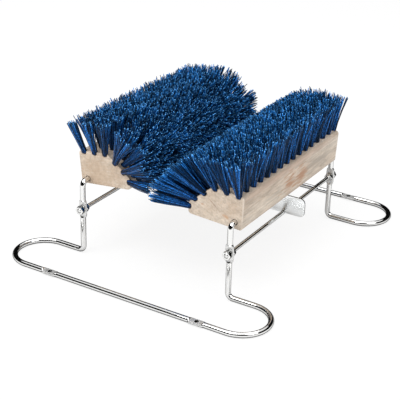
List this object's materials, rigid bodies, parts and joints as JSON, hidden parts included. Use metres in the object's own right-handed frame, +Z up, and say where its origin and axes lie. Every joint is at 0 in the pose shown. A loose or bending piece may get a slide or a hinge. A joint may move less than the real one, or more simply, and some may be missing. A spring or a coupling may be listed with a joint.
{
  "type": "boot brush",
  "caption": "Boot brush with bristled wooden blocks that tilt in a bent plated wire stand, over an upright scraper plate, with screw pads in its feet.",
  "frame": {"origin": "On the ground, at the middle of the length and of the width between the two wire frames.", "axes": "+Y runs along the brushes to the rear frame, +Z up, +X to the right brush. The picture is taken from the front right."},
  "size_m": [0.3678, 0.424, 0.184],
  "materials": {
    "plated_steel": "bright plated wire, nuts and rods",
    "scraper_steel": "bright plated sheet, softly mirrored",
    "hardwood": "bare sanded hardwood",
    "bristle": "stiff blue synthetic bristle"
  },
  "bodies": {
    "frame": {"front_frame": "plated_steel", "rear_frame": "plated_steel", "left_rod": "plated_steel", "right_rod": "plated_steel", "front_left_outer_nut": "plated_steel", "front_left_washer": "plated_steel", "front_left_inner_nut": "plated_steel", "front_right_outer_nut": "plated_steel", "front_right_washer": "plated_steel", "front_right_inner_nut": "plated_steel", "rear_left_outer_nut": "plated_steel", "rear_left_washer": "plated_steel", "rear_left_inner_nut": "plated_steel", "rear_right_outer_nut": "plated_steel", "rear_right_washer": "plated_steel", "rear_right_inner_nut": "plated_steel", "scraper_plate": "scraper_steel"},
    "left_brush": {"left_block": "hardwood", "left_bristles": "bristle"},
    "right_brush": {"right_block": "hardwood", "right_bristles": "bristle"}
  },
  "joints": [
    {"name": "left_brush_tilt", "type": "hinge", "parent": "frame", "child": "left_brush", "pos_m": [-0.107, 0, 0.0999], "axis": [0, -1, 0], "range_deg": [-12, 90]},
    {"name": "right_brush_tilt", "type": "hinge", "parent": "frame", "child": "right_brush", "pos_m": [0.107, 0, 0.0999], "axis": [0, 1, 0], "range_deg": [-6.4, 93.3]}
  ]
}
